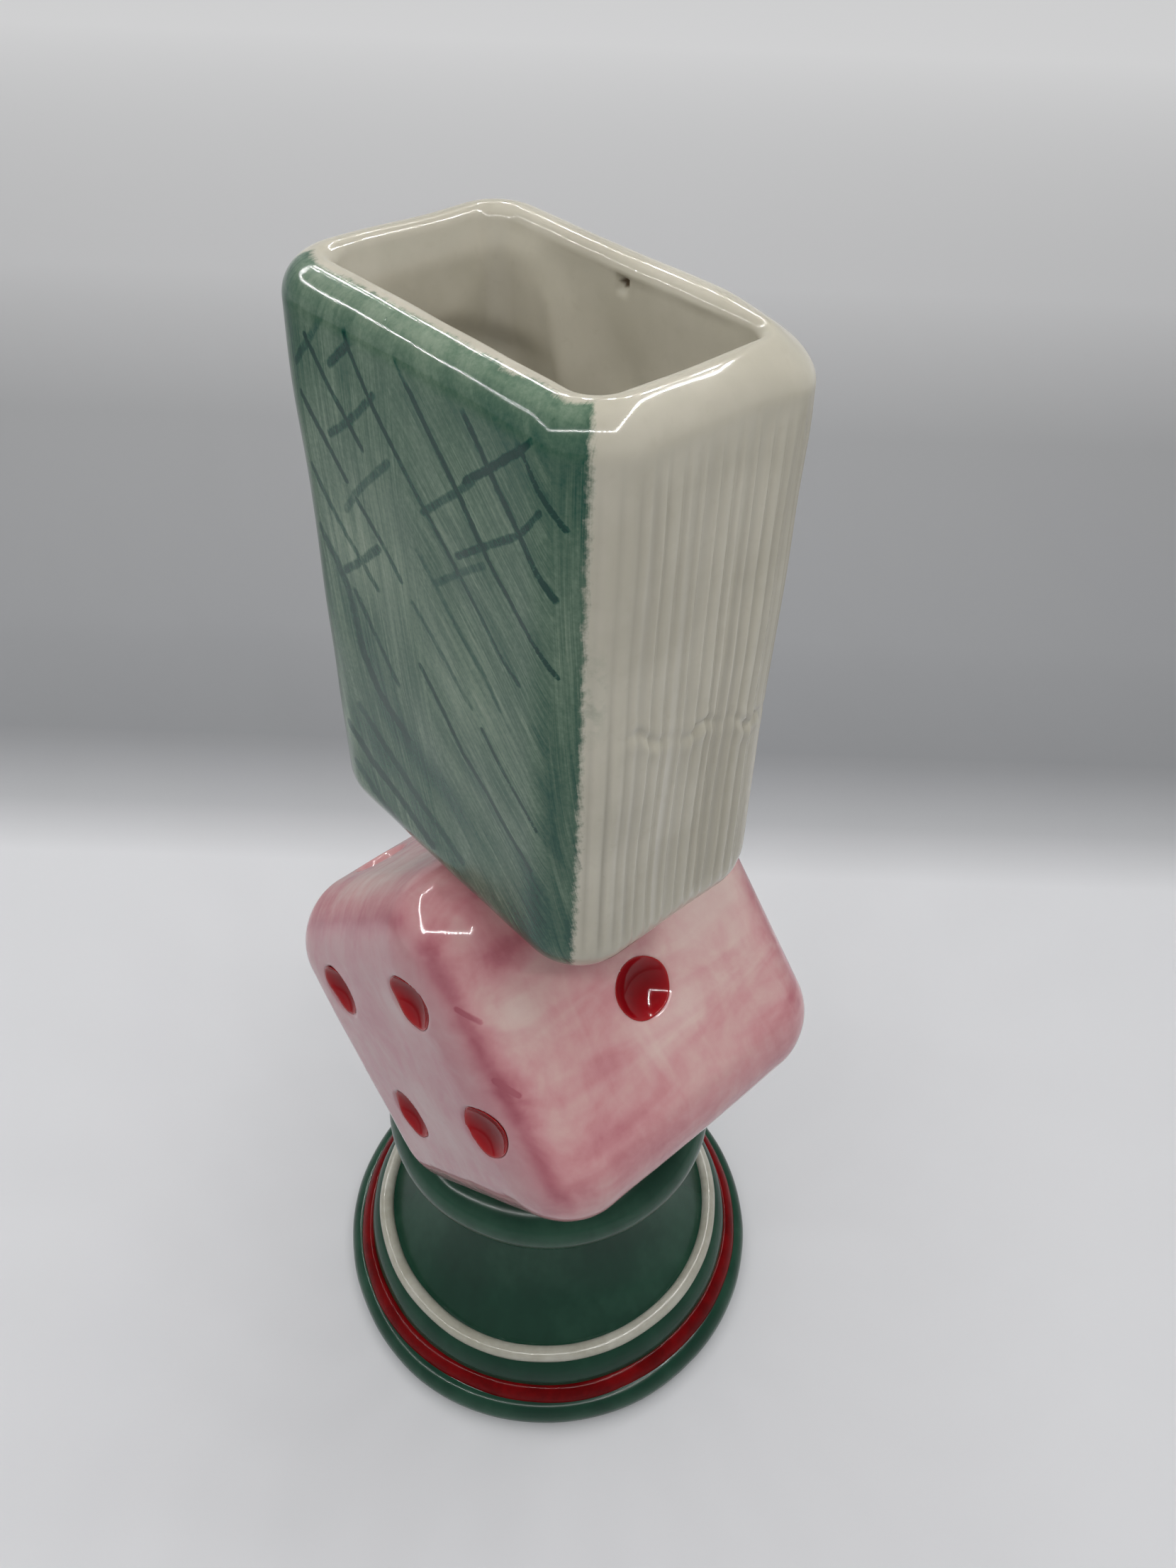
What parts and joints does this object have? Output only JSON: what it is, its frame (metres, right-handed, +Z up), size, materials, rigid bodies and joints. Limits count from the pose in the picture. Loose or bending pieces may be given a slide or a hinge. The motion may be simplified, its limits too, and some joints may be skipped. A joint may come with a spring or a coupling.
{
  "type": "ceramic vase of stacked game pieces",
  "caption": "Upright ceramic vase: an open card-deck box standing on the edge of a large die, which is bedded in the collar of a round pawn-shaped pedestal.",
  "frame": {"origin": "centre of the round foot, on the table surface", "axes": "+Z up; the deck's green painted face looks along -Y; the deck's width runs along X"},
  "size_m": [0.125, 0.125, 0.305],
  "materials": {
    "green_glaze": "high-gloss bottle-green glaze",
    "cream_glaze": "glossy clear glaze over a cream-white body",
    "red_enamel": "glossy dark red enamel",
    "rose_glaze": "glossy glaze over a mottled rose brush wash",
    "deck_glaze": "glossy clear glaze over cream body, wide face with a translucent sage-green brush wash and crosshatch"
  },
  "bodies": {
    "root": {"pawn_pedestal": "green_glaze", "collar": "green_glaze", "die_bed": "green_glaze", "cream_bead": "cream_glaze", "red_bead": "red_enamel", "die_shell": "rose_glaze", "enamel_one": "red_enamel", "enamel_two": "red_enamel", "enamel_three": "red_enamel", "enamel_four": "red_enamel", "enamel_five": "red_enamel", "enamel_six": "red_enamel", "deck_joint": "cream_glaze", "deck_box": "deck_glaze"}
  },
  "joints": []
}
